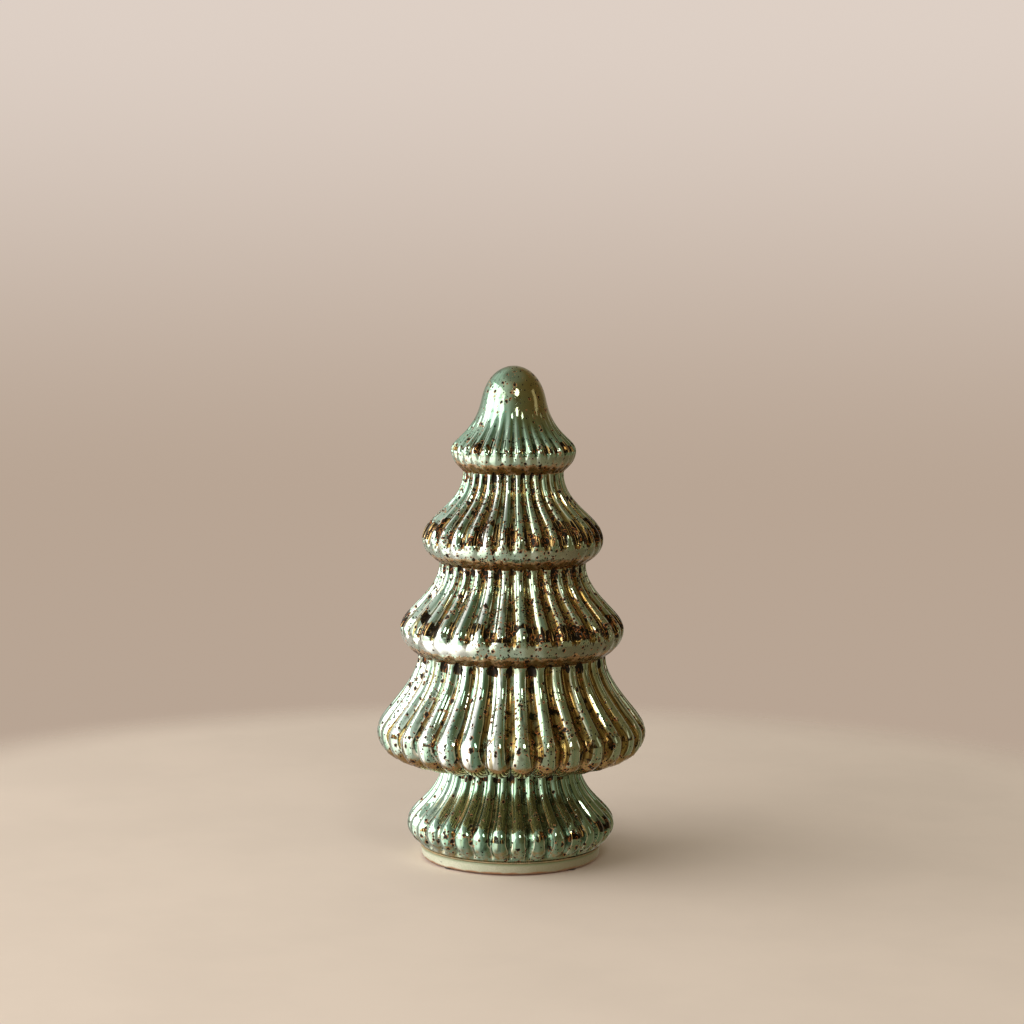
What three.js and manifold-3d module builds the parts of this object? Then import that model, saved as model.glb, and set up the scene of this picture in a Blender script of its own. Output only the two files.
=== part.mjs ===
// Glass Christmas tree: a hollow, ribbed, mould-blown glass body of five stacked bells under a smooth
// dome, cemented to a pale foot ring, which a disc and a soft stopper close from below.
// Millimetres, +Z up, origin on the table under the middle of the tree.
import * as THREE from 'three';
import { mergeVertices } from 'three/addons/utils/BufferGeometryUtils.js';
import Module from 'manifold-3d';

// Glass body
const RIB_COUNT = 32;
const WALL = 2.5;
const DOME_HEIGHT = 17;
const DOME_CROWN = 4.2; // how far the top stays near level, from the axis
const DOME_REACH = 14.8; // how far the shoulder's slope runs up into the dome
const NECK_TUCK = 1.2; // upright stretch between a neck and the underside above it
const SEAT_RADIUS = 45.8; // the glass where it stands on the cement

// Sizes of the bells from the base up. RIM and TOP are the radii of the rim and of the narrow top, UNDER
// is the height from the seat or neck below up to the rim, and FLANK the height from the rim up to the
// narrow top. The grooves between the ribs are RIM_GROOVE deep at the rim and TOP_GROOVE at the top.
const BASE_RIM = 53; // base bell
const BASE_TOP = 35.4;
const BASE_UNDER = 10.6;
const BASE_FLANK = 31.7;
const BASE_RIM_GROOVE = 2.6;
const BASE_TOP_GROOVE = 1.8;

const TIER_1_RIM = 68.5; // tier 1, the widest
const TIER_1_TOP = 47.9;
const TIER_1_UNDER = 16.5;
const TIER_1_FLANK = 38.1;
const TIER_1_RIM_GROOVE = 3.4;
const TIER_1_TOP_GROOVE = 2.2;

const TIER_2_RIM = 56.9; // tier 2
const TIER_2_TOP = 37.3;
const TIER_2_UNDER = 13.9;
const TIER_2_FLANK = 32.7;
const TIER_2_RIM_GROOVE = 2.8;
const TIER_2_TOP_GROOVE = 2;

const TIER_3_RIM = 46; // tier 3
const TIER_3_TOP = 25.6;
const TIER_3_UNDER = 12.4;
const TIER_3_FLANK = 33.7;
const TIER_3_RIM_GROOVE = 2.4;
const TIER_3_TOP_GROOVE = 1.7;

const TIER_4_RIM = 31.8; // tier 4, under the dome
const TIER_4_TOP = 16.4;
const TIER_4_UNDER = 10.8;
const TIER_4_FLANK = 25.6;
const TIER_4_RIM_GROOVE = 1.8;
const TIER_4_TOP_GROOVE = 0.1;

// The bells as the outline takes them. A bend is the share of the height that the outline takes to turn
// away from the upright, and lean is how much the top opens per millimetre of drop. The underside stays
// smooth up to its collar share and is grooved in full from its lobe share on.
const BELLS = [
  {
    rimRadius: BASE_RIM,
    topRadius: BASE_TOP,
    under: BASE_UNDER,
    flank: BASE_FLANK,
    rimGroove: BASE_RIM_GROOVE,
    topGroove: BASE_TOP_GROOVE,
    underBend: 0.64,
    rimBend: 0.29,
    topBend: 0.57,
    lean: 0,
    collar: 0.15,
    lobe: 0.5,
  },
  {
    rimRadius: TIER_1_RIM,
    topRadius: TIER_1_TOP,
    under: TIER_1_UNDER,
    flank: TIER_1_FLANK,
    rimGroove: TIER_1_RIM_GROOVE,
    topGroove: TIER_1_TOP_GROOVE,
    underBend: 1.28,
    rimBend: 0.2,
    topBend: 0.42,
    lean: 0,
    collar: 0.05,
    lobe: 0.3,
  },
  {
    rimRadius: TIER_2_RIM,
    topRadius: TIER_2_TOP,
    under: TIER_2_UNDER,
    flank: TIER_2_FLANK,
    rimGroove: TIER_2_RIM_GROOVE,
    topGroove: TIER_2_TOP_GROOVE,
    underBend: 0.73,
    rimBend: 0.24,
    topBend: 0.47,
    lean: 0,
    collar: 0.78,
    lobe: 1,
  },
  {
    rimRadius: TIER_3_RIM,
    topRadius: TIER_3_TOP,
    under: TIER_3_UNDER,
    flank: TIER_3_FLANK,
    rimGroove: TIER_3_RIM_GROOVE,
    topGroove: TIER_3_TOP_GROOVE,
    underBend: 0.69,
    rimBend: 0.34,
    topBend: 0.51,
    lean: 0,
    collar: 0.78,
    lobe: 1,
  },
  {
    rimRadius: TIER_4_RIM,
    topRadius: TIER_4_TOP,
    under: TIER_4_UNDER,
    flank: TIER_4_FLANK,
    rimGroove: TIER_4_RIM_GROOVE,
    topGroove: TIER_4_TOP_GROOVE,
    underBend: 0.6,
    rimBend: 0.24,
    topBend: 0.7,
    lean: 0.21,
    collar: 0.78,
    lobe: 1,
  },
];

// Facets of the glass body. The rows lie at these shares of the way along each curve of its outline,
// closest where the curve bends.
const ROW_SHARES = {
  under: [0, 0.58, 0.81, 1],
  flank: [0, 0.19, 0.58, 0.83, 1],
  dome: [0, 0.2, 0.4, 0.6, 0.8, 1],
};
const STEPS_PER_RIB = 4;
const CAVITY_STEPS = 32;
const CAVITY_EASE = 0.2; // how far a point of the cavity's outline must stand out to be kept
const CAVITY_OVERRUN = 2; // how far the cavity's cutter runs out below the seat

// Foot ring, with the spigot that centres the glass and the rebate that holds the disc
const FOOT_HEIGHT = 5.4;
const FOOT_TAPER = 0.5; // how much narrower the foot is at its underside than at its ledge
const FOOT_EDGE = 0.8;
const SPIGOT_HEIGHT = 4;
const SPIGOT_WIDTH = 8;
const SPIGOT_GAP = 0.4; // around the spigot, inside the glass and the cement
const REBATE_DEPTH = 3.8;
const REBATE_LIP = 3.8; // how far the foot ring reaches in over the disc
const RING_STEPS = 48;

// Cement between the glass and the foot
const CEMENT_HEIGHT = 0.8;
const CEMENT_PROUD = 0.3;
const CEMENT_BULGE = 0.25;

// Disc and stopper under the cavity
const DISC_GAP = 0.3;
const DISC_THICKNESS = 2;
const STOPPER_HOLE = 7;
const STOPPER_GAP = 0.3;
const STOPPER_FLANGE = 9.5;
const STOPPER_FLANGE_HEIGHT = 1.3;
const STOPPER_BARB = 7.8;
const STOPPER_BARB_HEIGHT = 1;
const STOPPER_NOSE = 5;
const STOPPER_NOSE_HEIGHT = 3;
const STOPPER_STEPS = 24;

// Pads under the foot
const PAD_COUNT = 4;
const PAD_RADIUS = 3;
const PAD_HEIGHT = 0.8;
const PAD_STEPS = 20;

// Heights and radii that follow from the sizes above
const ledgeZ = PAD_HEIGHT + FOOT_HEIGHT;
const seatZ = ledgeZ + CEMENT_HEIGHT;
const seatBore = SEAT_RADIUS - WALL;
const spigotRadius = seatBore - SPIGOT_GAP;
const footBore = spigotRadius - SPIGOT_WIDTH;
const rebateRadius = footBore + REBATE_LIP;
const discZ = PAD_HEIGHT + REBATE_DEPTH - DISC_THICKNESS;

const wasm = await Module();
wasm.setup();

// A closed geometry as a solid that can be joined or cut.
function solidOf(geometry) {
  const bare = geometry.clone();
  bare.deleteAttribute('normal');
  bare.deleteAttribute('uv');
  const merged = mergeVertices(bare, 1e-4);
  return new wasm.Manifold(
    new wasm.Mesh({
      numProp: 3,
      vertProperties: merged.attributes.position.array,
      triVerts: new Uint32Array(merged.index.array),
    }),
  );
}

// The solid's surface as a geometry with its own normals.
function geometryOf(solid) {
  const mesh = solid.getMesh();
  const geometry = new THREE.BufferGeometry();
  geometry.setAttribute('position', new THREE.BufferAttribute(mesh.vertProperties, 3));
  geometry.setIndex(new THREE.BufferAttribute(mesh.triVerts, 1));
  geometry.computeVertexNormals();
  return geometry;
}

// A solid of revolution about +Z from an outline of [radius, height] points.
function turned(outline, steps) {
  const points = outline.map(([radius, height]) => new THREE.Vector2(radius, height));
  return new THREE.LatheGeometry(points, steps).rotateX(Math.PI / 2);
}

// A curve of the outline between two points, with its turning points reach1 and reach2 beyond them.
function bend(from, reach1, reach2, to) {
  return new THREE.CubicBezierCurve(
    new THREE.Vector2(...from),
    new THREE.Vector2(...reach1),
    new THREE.Vector2(...reach2),
    new THREE.Vector2(...to),
  );
}

// The underside and the flank of each bell from the seat up, then the dome.
function bodyCurves() {
  const curves = [];
  let radius = SEAT_RADIUS;
  let height = 0;
  for (const bell of BELLS) {
    const rimHeight = height + bell.under;
    const topHeight = rimHeight + bell.flank;
    const rimReach = bell.flank * bell.rimBend;
    const topReach = bell.flank * bell.topBend;
    curves.push({
      kind: 'under',
      bell,
      curve: bend(
        [radius, height],
        [radius, height + NECK_TUCK],
        [bell.rimRadius, rimHeight - bell.under * bell.underBend],
        [bell.rimRadius, rimHeight],
      ),
    });
    curves.push({
      kind: 'flank',
      bell,
      curve: bend(
        [bell.rimRadius, rimHeight],
        [bell.rimRadius, rimHeight + rimReach],
        [bell.topRadius + bell.lean * topReach, topHeight - topReach],
        [bell.topRadius, topHeight],
      ),
    });
    radius = bell.topRadius;
    height = topHeight;
  }
  const last = BELLS[BELLS.length - 1];
  curves.push({
    kind: 'dome',
    bell: last,
    curve: bend(
      [radius, height],
      [radius - last.lean * DOME_REACH, height + DOME_REACH],
      [DOME_CROWN, height + DOME_HEIGHT],
      [0, height + DOME_HEIGHT],
    ),
  });
  return curves;
}

// How deep the grooves are at a share of the way up a curve.
function grooveDepth(kind, bell, share) {
  if (kind === 'dome') return bell.topGroove * (1 - share);
  if (kind === 'flank') return THREE.MathUtils.lerp(bell.rimGroove, bell.topGroove, share);
  return bell.rimGroove * THREE.MathUtils.smoothstep(share, bell.collar, bell.lobe);
}

// Rows of the ribbed outside from the seat up, each with the point on a rib's crest, the direction
// straight out of the glass there, and the groove's depth.
function ribbedRows() {
  const rows = [];
  for (const { kind, bell, curve } of bodyCurves()) {
    for (const share of ROW_SHARES[kind].slice(rows.length > 0 ? 1 : 0)) {
      const along = curve.getTangent(share);
      rows.push({
        crest: curve.getPoint(share),
        out: new THREE.Vector2(along.y, -along.x),
        groove: grooveDepth(kind, bell, share),
      });
    }
  }
  return rows;
}

// A row's point, moved straight into the glass by a share of its groove.
function cutPoint(row, share) {
  return row.crest.clone().addScaledVector(row.out, -row.groove * share);
}

// How much of the groove's depth is cut at a share of the way from one groove to the next.
function grooveShape(share) {
  return Math.abs(2 * share - 1) ** 2.2;
}

// The ribbed outside as a closed solid: a turned body whose points move in at the grooves.
function ribbedBody(rows) {
  const outline = [[0, 0], ...rows.map(({ crest }) => [crest.x, crest.y])];
  const steps = RIB_COUNT * STEPS_PER_RIB;
  const geometry = turned(outline, steps);
  const position = geometry.getAttribute('position');
  for (let i = 0; i < position.count; i++) {
    const step = Math.floor(i / outline.length);
    const row = rows[(i % outline.length) - 1];
    if (!row || row.crest.x === 0) continue;
    const point = cutPoint(row, grooveShape((step % STEPS_PER_RIB) / STEPS_PER_RIB));
    const scale = point.x / row.crest.x;
    position.setXYZ(i, position.getX(i) * scale, position.getY(i) * scale, point.y);
  }
  return solidOf(geometry);
}

// The hollow inside the glass, a wall's width behind the bottoms of the grooves. It runs out below
// the seat.
function cavity(rows) {
  const right = [new THREE.Vector2(SEAT_RADIUS, -CAVITY_OVERRUN - WALL)];
  right.push(...rows.map((row) => cutPoint(row, 1)));
  const left = right.slice(0, -1).reverse();
  const outline = [...right.map(({ x, y }) => [x, y]), ...left.map(({ x, y }) => [-x, y])];
  const whole = new wasm.CrossSection([outline]);
  return whole.offset(-WALL, 'Miter').simplify(CAVITY_EASE).revolve(CAVITY_STEPS);
}

function glassTree() {
  const rows = ribbedRows();
  return geometryOf(ribbedBody(rows).subtract(cavity(rows)));
}

// The cement lies between the glass and the foot's ledge and stands a little proud of both.
function cementBead() {
  const inner = seatBore;
  const outer = SEAT_RADIUS + CEMENT_PROUD;
  return turned(
    [
      [inner, 0],
      [outer - CEMENT_BULGE, 0],
      [outer, CEMENT_BULGE],
      [outer, CEMENT_HEIGHT - CEMENT_BULGE],
      [outer - CEMENT_BULGE, CEMENT_HEIGHT],
      [inner, CEMENT_HEIGHT],
      [inner, 0],
    ],
    RING_STEPS,
  );
}

function footRing() {
  const outerFoot = SEAT_RADIUS - FOOT_TAPER;
  return turned(
    [
      [rebateRadius, 0],
      [outerFoot - FOOT_EDGE, 0],
      [outerFoot - FOOT_EDGE * 0.3, FOOT_EDGE * 0.3],
      [outerFoot, FOOT_EDGE],
      [SEAT_RADIUS, FOOT_HEIGHT],
      [spigotRadius, FOOT_HEIGHT],
      [spigotRadius, FOOT_HEIGHT + SPIGOT_HEIGHT],
      [footBore, FOOT_HEIGHT + SPIGOT_HEIGHT],
      [footBore, REBATE_DEPTH],
      [rebateRadius, REBATE_DEPTH],
      [rebateRadius, 0],
    ],
    RING_STEPS,
  );
}

function baseDisc() {
  const outer = rebateRadius - DISC_GAP;
  return turned(
    [
      [STOPPER_HOLE, 0],
      [outer, 0],
      [outer, DISC_THICKNESS],
      [STOPPER_HOLE, DISC_THICKNESS],
      [STOPPER_HOLE, 0],
    ],
    RING_STEPS,
  );
}

// The stopper's flange bears on the disc from below and its barb from above.
function stopper() {
  const stem = STOPPER_HOLE - STOPPER_GAP;
  const barbZ = STOPPER_FLANGE_HEIGHT + DISC_THICKNESS;
  return turned(
    [
      [0, 0],
      [STOPPER_FLANGE, 0],
      [STOPPER_FLANGE, STOPPER_FLANGE_HEIGHT],
      [stem, STOPPER_FLANGE_HEIGHT],
      [stem, barbZ],
      [STOPPER_BARB, barbZ],
      [STOPPER_BARB, barbZ + STOPPER_BARB_HEIGHT],
      [STOPPER_NOSE, barbZ + STOPPER_BARB_HEIGHT + STOPPER_NOSE_HEIGHT],
      [0, barbZ + STOPPER_BARB_HEIGHT + STOPPER_NOSE_HEIGHT],
    ],
    STOPPER_STEPS,
  );
}

function finish(color, roughness, metalness) {
  return new THREE.MeshStandardMaterial({ color, roughness, metalness });
}

const silveredGlass = finish(0x8fae98, 0.08, 0.6);
const cement = finish(0xa8855a, 0.7, 0);
const paleGlaze = finish(0xcdd3be, 0.45, 0);
const cardboard = finish(0x8a7355, 0.9, 0);
const softRubber = finish(0xb9b4a6, 0.6, 0);
const felt = finish(0x3b332b, 1, 0);

function piece(name, geometry, material, x, y, z) {
  const mesh = new THREE.Mesh(geometry, material);
  mesh.name = name;
  mesh.position.set(x, y, z);
  return mesh;
}

const tree = new THREE.Group();
tree.add(piece('glass_tree', glassTree(), silveredGlass, 0, 0, seatZ));
tree.add(piece('cement_bead', cementBead(), cement, 0, 0, ledgeZ));

const foot = new THREE.Group();
foot.add(piece('foot_ring', footRing(), paleGlaze, 0, 0, PAD_HEIGHT));
foot.add(piece('base_disc', baseDisc(), cardboard, 0, 0, discZ));
foot.add(piece('stopper', stopper(), softRubber, 0, 0, discZ - STOPPER_FLANGE_HEIGHT));

const padCircle = (rebateRadius + SEAT_RADIUS - FOOT_TAPER) / 2;
for (let i = 0; i < PAD_COUNT; i++) {
  const angle = ((i + 0.5) * 2 * Math.PI) / PAD_COUNT;
  const pad = new THREE.CylinderGeometry(PAD_RADIUS, PAD_RADIUS, PAD_HEIGHT, PAD_STEPS);
  pad.rotateX(Math.PI / 2);
  const x = padCircle * Math.cos(angle);
  const y = padCircle * Math.sin(angle);
  foot.add(piece(`pad_${i + 1}`, pad, felt, x, y, PAD_HEIGHT / 2));
}
tree.add(foot);

export default tree;
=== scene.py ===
import math

import bmesh
import bpy
import numpy as np
from mathutils import Matrix, Vector

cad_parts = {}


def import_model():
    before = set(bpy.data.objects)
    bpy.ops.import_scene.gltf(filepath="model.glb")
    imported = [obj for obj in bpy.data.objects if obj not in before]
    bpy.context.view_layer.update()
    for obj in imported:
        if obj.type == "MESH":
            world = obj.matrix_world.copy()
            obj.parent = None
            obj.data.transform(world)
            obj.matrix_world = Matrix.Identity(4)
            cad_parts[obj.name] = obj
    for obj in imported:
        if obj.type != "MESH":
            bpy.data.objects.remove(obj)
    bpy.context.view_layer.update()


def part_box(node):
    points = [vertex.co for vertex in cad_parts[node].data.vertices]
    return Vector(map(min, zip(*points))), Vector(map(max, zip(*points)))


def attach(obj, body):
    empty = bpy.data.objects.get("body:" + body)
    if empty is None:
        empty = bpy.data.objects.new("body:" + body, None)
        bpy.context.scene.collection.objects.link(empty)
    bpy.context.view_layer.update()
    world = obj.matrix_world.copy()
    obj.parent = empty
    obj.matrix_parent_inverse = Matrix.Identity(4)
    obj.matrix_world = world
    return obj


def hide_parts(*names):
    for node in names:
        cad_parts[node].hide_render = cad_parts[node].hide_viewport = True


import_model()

MM = 0.001

# Glass body in millimetres, as in the part's source
RIB_COUNT = 32
WALL = 2.5
DOME_HEIGHT = 17
DOME_CROWN = 4.2
DOME_REACH = 14.8
NECK_TUCK = 1.2
SEAT_RADIUS = 45.8

# How tarnished the base bell, the top and the widest tier are, where tiers 2 and 3 are at 1
BASE_TARNISH = 0.4
TOP_TARNISH = 0.5
WIDEST_TARNISH = 0.9

# The bells from the base up: radii and heights in millimetres, bends as shares of those heights. The
# underside stays smooth up to its collar share and is grooved in full from its lobe share on. The lean
# is how much the flank's top slopes inwards, and the last four say how much of each its finish has;
# tan is the tan under the lobes, which is tarnish and painted shade.
BELLS = [
    dict(rim=53, top=35.4, under=10.6, flank=31.7, under_bend=0.64, rim_bend=0.29, top_bend=0.57,
         lean=0, rim_groove=2.6, top_groove=1.8, collar=0.15, lobe=0.5,
         freckles=0.35, pools=0.45, tarnish=BASE_TARNISH, tan=0.45),
    dict(rim=68.5, top=47.9, under=16.5, flank=38.1, under_bend=1.28, rim_bend=0.2, top_bend=0.42,
         lean=0, rim_groove=3.4, top_groove=2.2, collar=0.05, lobe=0.3,
         freckles=0.6, pools=0.35, tarnish=WIDEST_TARNISH, tan=0.9),
    dict(rim=56.9, top=37.3, under=13.9, flank=32.7, under_bend=0.73, rim_bend=0.24, top_bend=0.47,
         lean=0, rim_groove=2.8, top_groove=2, collar=0.78, lobe=1,
         freckles=1.0, pools=1.0, tarnish=1.0, tan=0),
    dict(rim=46, top=25.6, under=12.4, flank=33.7, under_bend=0.69, rim_bend=0.34, top_bend=0.51,
         lean=0, rim_groove=2.4, top_groove=1.7, collar=0.78, lobe=1,
         freckles=1.0, pools=1.1, tarnish=1.0, tan=0),
    dict(rim=31.8, top=16.4, under=10.8, flank=25.6, under_bend=0.6, rim_bend=0.24, top_bend=0.7,
         lean=0.21, rim_groove=1.8, top_groove=0.1, collar=0.78, lobe=1,
         freckles=0.5, pools=0.7, tarnish=TOP_TARNISH, tan=0),
]
HAS_COLLAR = 0.5  # collar share above which a bell ends in a smooth collar instead of lobes
TOP_FLANK_FADE = (0.1, 0.97)  # where the grooves of the top flank fade, as shares of the way up it

# Fineness of the glass mesh, and the coarser rows of its hollow as shares of the way along each curve
STEPS_PER_RIB = 12
CURVE_ROWS = {"under": 14, "flank": 27, "dome": 18}
END_EASE = 0.45  # how much closer the rows lie at the ends of a curve
HOLLOW_SHARES = {
    "under": [0.58, 1],
    "flank": [0.19, 0.58, 0.83, 1],
    "dome": [0.2, 0.6, 1],
}
FLOW_RADIUS = 50  # of the ring along which the streaks of the finish run

# Rounded ends of the grooves, as lengths along the outline: at a neck from ABOVE_NECK over it down to
# BELOW_NECK under it, and at the rim of a bell with a collar from ABOVE_RIM down to BELOW_RIM
ABOVE_NECK = 1.0
BELOW_NECK = 1.6
ABOVE_RIM = 3.2
BELOW_RIM = 3.4
NARROWEST = 0.05  # least share of a groove's width that its section is worked out for
COLLAR_WAVE = 0.5  # depth of the soft waves in a collar, one to a rib

# Ribs between the grooves: CROWNING is the rounded share of a rib's depth, and SIDES are where its
# steep sides begin and end, from the crest at 0 to the groove's bottom at 1. Lobes are nearly half
# round, by LOBE_FULLNESS.
CROWNING = 0.3
SIDES = (0.22, 0.7)
LOBE_FULLNESS = 0.94

# Unevenness of blown glass: how much the ribs differ in depth, how far they drift round the tree (in
# radians, waves round it and height per radian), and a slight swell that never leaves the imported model
RIB_VARIATION = 0.16
DEPTH_SEED = 1.0
CHANCE_SEED = 3.0
DRIFTS = [(0.006, 2, 31), (0.004, 5, -23)]
SWELL = 0.1
SWELL_WAVES = 3
SWELL_HEIGHTS = (17, 11)
CLEARANCE = 0.1

# Where the zones of the finish fade, as shares of the way up an underside or a flank: tan tips of
# lobes (tarnish and painted shade under them), smooth collars, rust and painted shade towards a neck,
# dark blots beside it (tarnish and painted shade under the collar), pools over a rim, and the dome
TIPS_FADE = (0.72, 1.0)
SEAT_SHADOW_FADE = (0.0, 0.25)
COLLAR_FADE = (0.84, 1.0)
COLLAR_RUST_AND_SHADE_FADE = (0.35, 0.9)
UNDER_NECK_FADE = (0.1, 0.35)
LOBE_FADE = (0.05, 0.45)
POOLS_FADE = (0.15, 0.6)
NECK_RISE = (0.86, 0.95)
DOME_RISE = (0.5, 1.0)
GROOVED_DEPTH = 1.2  # depth and share of the full width from which a groove is tarnished in full
GROOVED_WIDTH = 0.6
ROW_VALUES = ("collar", "tips", "rust", "neck", "pools", "dome", "grooved", "freckles", "tarnish")

# Thickened lip of the glass just above the cement
LIP_PROUD = 0.45
LIP_HEIGHT = 0.8
LIP_WIDTH = 0.5

# Foot, cement, disc, stopper and pads in millimetres
PAD_HEIGHT = 0.8
PAD_RADIUS = 3
FOOT_HEIGHT = 5.4
FOOT_TAPER = 0.5
SPIGOT_HEIGHT = 4
SPIGOT_WIDTH = 8
SPIGOT_GAP = 0.4
REBATE_DEPTH = 3.8
REBATE_LIP = 3.8
CEMENT_HEIGHT = 0.8
CEMENT_PROUD = 0.3
DISC_GAP = 0.3
DISC_THICKNESS = 2
STOPPER_HOLE = 7
STOPPER_GAP = 0.3
STOPPER_FLANGE = 9.5
STOPPER_FLANGE_HEIGHT = 1.3
STOPPER_BARB = 7.8
STOPPER_BARB_HEIGHT = 1
STOPPER_NOSE = 5
STOPPER_NOSE_HEIGHT = 3
STOPPER_DISH = 3.6
STOPPER_DISH_FLOOR = 3.0
STOPPER_DISH_DEPTH = 0.3
AXIS_BORE = 0.02  # radius at which the pieces that are closed at their axis begin

# Unevenness of the turned pieces, and how finely they and their rounded corners are divided
FOOT_WAVES = (0.09, 0.05)
CEMENT_WAVE = 0.06
FELT_FUZZ = 0.03
FOOT_STEPS = 240
DISC_STEPS = 128
STOPPER_STEPS = 72
PAD_STEPS = 64
CORNER_STEPS = 4
SIDE_TO_CORNER = 2.2  # how many times longer than its corner's rounding a side is at least

SEAT_Z = PAD_HEIGHT + FOOT_HEIGHT + CEMENT_HEIGHT
SEAT_BORE = SEAT_RADIUS - WALL
SPIGOT_RADIUS = SEAT_BORE - SPIGOT_GAP
FOOT_BORE = SPIGOT_RADIUS - SPIGOT_WIDTH
REBATE_RADIUS = FOOT_BORE + REBATE_LIP
DISC_Z = PAD_HEIGHT + REBATE_DEPTH - DISC_THICKNESS


def smoothstep(value, low, high):
    share = np.clip((value - low) / (high - low), 0, 1)
    return share * share * (3 - 2 * share)


def bezier(turns, shares):
    """Points of a cubic curve at shares of the way along it, and the outward directions there."""
    t = np.asarray(shares)[:, None]
    a, b, c, d = (np.array(p, float) for p in turns)
    points = (1 - t) ** 3 * a + 3 * (1 - t) ** 2 * t * b + 3 * (1 - t) * t * t * c + t**3 * d
    along = (1 - t) ** 2 * (b - a) + 2 * (1 - t) * t * (c - b) + t * t * (d - c)
    along /= np.linalg.norm(along, axis=1)[:, None]
    return points, np.stack([along[:, 1], -along[:, 0]], -1)


def body_curves():
    """The undersides, flanks and dome from the seat up, each as (kind, bell, turning points)."""
    curves = []
    radius, height = SEAT_RADIUS, 0.0
    for bell in BELLS:
        rim, top = bell["rim"], bell["top"]
        rim_z = height + bell["under"]
        top_z = rim_z + bell["flank"]
        rim_turn = rim_z - bell["under"] * bell["under_bend"]
        rim_reach = bell["flank"] * bell["rim_bend"]
        top_reach = bell["flank"] * bell["top_bend"]
        top_turn = (top + bell["lean"] * top_reach, top_z - top_reach)
        under = [(radius, height), (radius, height + NECK_TUCK), (rim, rim_turn), (rim, rim_z)]
        flank = [(rim, rim_z), (rim, rim_z + rim_reach), top_turn, (top, top_z)]
        curves.append(("under", bell, under))
        curves.append(("flank", bell, flank))
        radius, height = top, top_z
    last = BELLS[-1]
    crown = height + DOME_HEIGHT
    shoulder_turn = (radius - last["lean"] * DOME_REACH, height + DOME_REACH)
    dome = [(radius, height), shoulder_turn, (DOME_CROWN, crown), (0, crown)]
    curves.append(("dome", last, dome))
    return curves


def groove_depth(kind, bell, share):
    """How deep the grooves are at a share of the way along a curve, away from their rounded ends."""
    if kind == "dome":
        return 0.0
    if kind == "under":
        if bell["collar"] > HAS_COLLAR:
            return bell["rim_groove"]
        return bell["rim_groove"] * smoothstep(share, bell["collar"], bell["lobe"])
    if bell is BELLS[-1]:
        return bell["rim_groove"] * (1 - smoothstep(share, *TOP_FLANK_FADE))
    return bell["rim_groove"] + (bell["top_groove"] - bell["rim_groove"]) * share


def end_width(past):
    """Width of a groove's rounded end: full up to past 0, and none from past 1 on."""
    return math.sqrt(max(0.0, 1 - max(0.0, past) ** 2))


def groove_ends(rows):
    """Sets how wide each row's grooves are, as a share of their full width, down to none."""
    points = np.array([(row["radius"], row["height"]) for row in rows])
    along = np.concatenate([[0], np.cumsum(np.linalg.norm(np.diff(points, axis=0), axis=1))])
    tops = {
        kind: [here for row, here in zip(rows, along) if row["kind"] == kind and row["share"] == 1]
        for kind in ("under", "flank")
    }
    rims, necks = tops["under"], tops["flank"]
    for row, here in zip(rows, along):
        width = 1.0
        number = BELLS.index(row["bell"])
        if row["bell"] is not BELLS[-1] and row["kind"] == "flank":
            width = end_width((here - necks[number] + BELOW_NECK) / (ABOVE_NECK + BELOW_NECK))
        if row["kind"] == "under" and number > 0:
            past = (here - necks[number - 1] + BELOW_NECK) / (ABOVE_NECK + BELOW_NECK)
            if end_width(past) > 0:
                row["groove"] = BELLS[number - 1]["top_groove"]
                width = end_width(past)
        if row["bell"]["collar"] > HAS_COLLAR and width == 1.0:
            width = end_width((rims[number] + ABOVE_RIM - here) / (ABOVE_RIM + BELOW_RIM))
        row["width"] = width


def eased(count):
    """Shares from 0 to 1, closer at both ends."""
    steps = np.linspace(0, 1, count + 1)
    return steps - END_EASE * np.sin(2 * math.pi * steps) / (2 * math.pi)


def zones(row, kind, bell, share):
    """Sets which zones of the finish a row lies in, and how round its ribs are."""
    is_base, is_top = bell is BELLS[0], bell is BELLS[-1]
    has_collar = bell["collar"] > HAS_COLLAR
    row.update(collar=0.0, tips=0.0, rust=0.0, neck=0.0, pools=0.0, dome=0.0, round=0.0)
    row.update(freckles=bell["freckles"], tarnish=bell["tarnish"])
    if kind == "under":
        row["round"] = 1.0
        if has_collar:
            row["collar"] = 1 - smoothstep(share, *COLLAR_FADE)
            row["rust"] = 1 - smoothstep(share, *COLLAR_RUST_AND_SHADE_FADE)
        else:
            row["tips"] = bell["tan"] * (1 - smoothstep(share, *TIPS_FADE))
            # Painted shadow under the bell towards the neck below it
            row["rust"] = 0.0 if is_base else 1 - smoothstep(share, *SEAT_SHADOW_FADE)
        if not is_base:
            row["neck"] = 1 - smoothstep(share, *UNDER_NECK_FADE)
    elif kind == "flank":
        if not has_collar:
            row["round"] = 1 - smoothstep(share, *LOBE_FADE)
        row["pools"] = bell["pools"] * (1 - smoothstep(share, *POOLS_FADE))
        if is_top:
            row["dome"] = smoothstep(share, *DOME_RISE)
        else:
            row["neck"] = smoothstep(share, *NECK_RISE)
    else:
        row["dome"] = 1.0


def body_rows():
    """Rows of the ribbed outside from the seat up, with what shapes and colours each of them."""
    rows = []
    for kind, bell, turns in body_curves():
        shares = eased(CURVE_ROWS[kind])
        points, outward = bezier(turns, shares)
        for share, (radius, height), (out_r, out_z) in zip(shares, points, outward):
            if share == 0 and rows:
                continue
            row = dict(radius=radius, height=height, out_r=out_r, out_z=out_z)
            row.update(kind=kind, bell=bell, share=share, groove=groove_depth(kind, bell, share))
            zones(row, kind, bell, share)
            if kind == "under" and bell["collar"] < HAS_COLLAR:
                row["radius"] += LIP_PROUD * math.exp(-(((height - LIP_HEIGHT) / LIP_WIDTH) ** 2))
            rows.append(row)
    groove_ends(rows)
    for row in rows:
        depth = min(1.0, row["groove"] / GROOVED_DEPTH)
        row["grooved"] = depth * smoothstep(row["width"], 0.0, GROOVED_WIDTH)
    return rows


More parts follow.
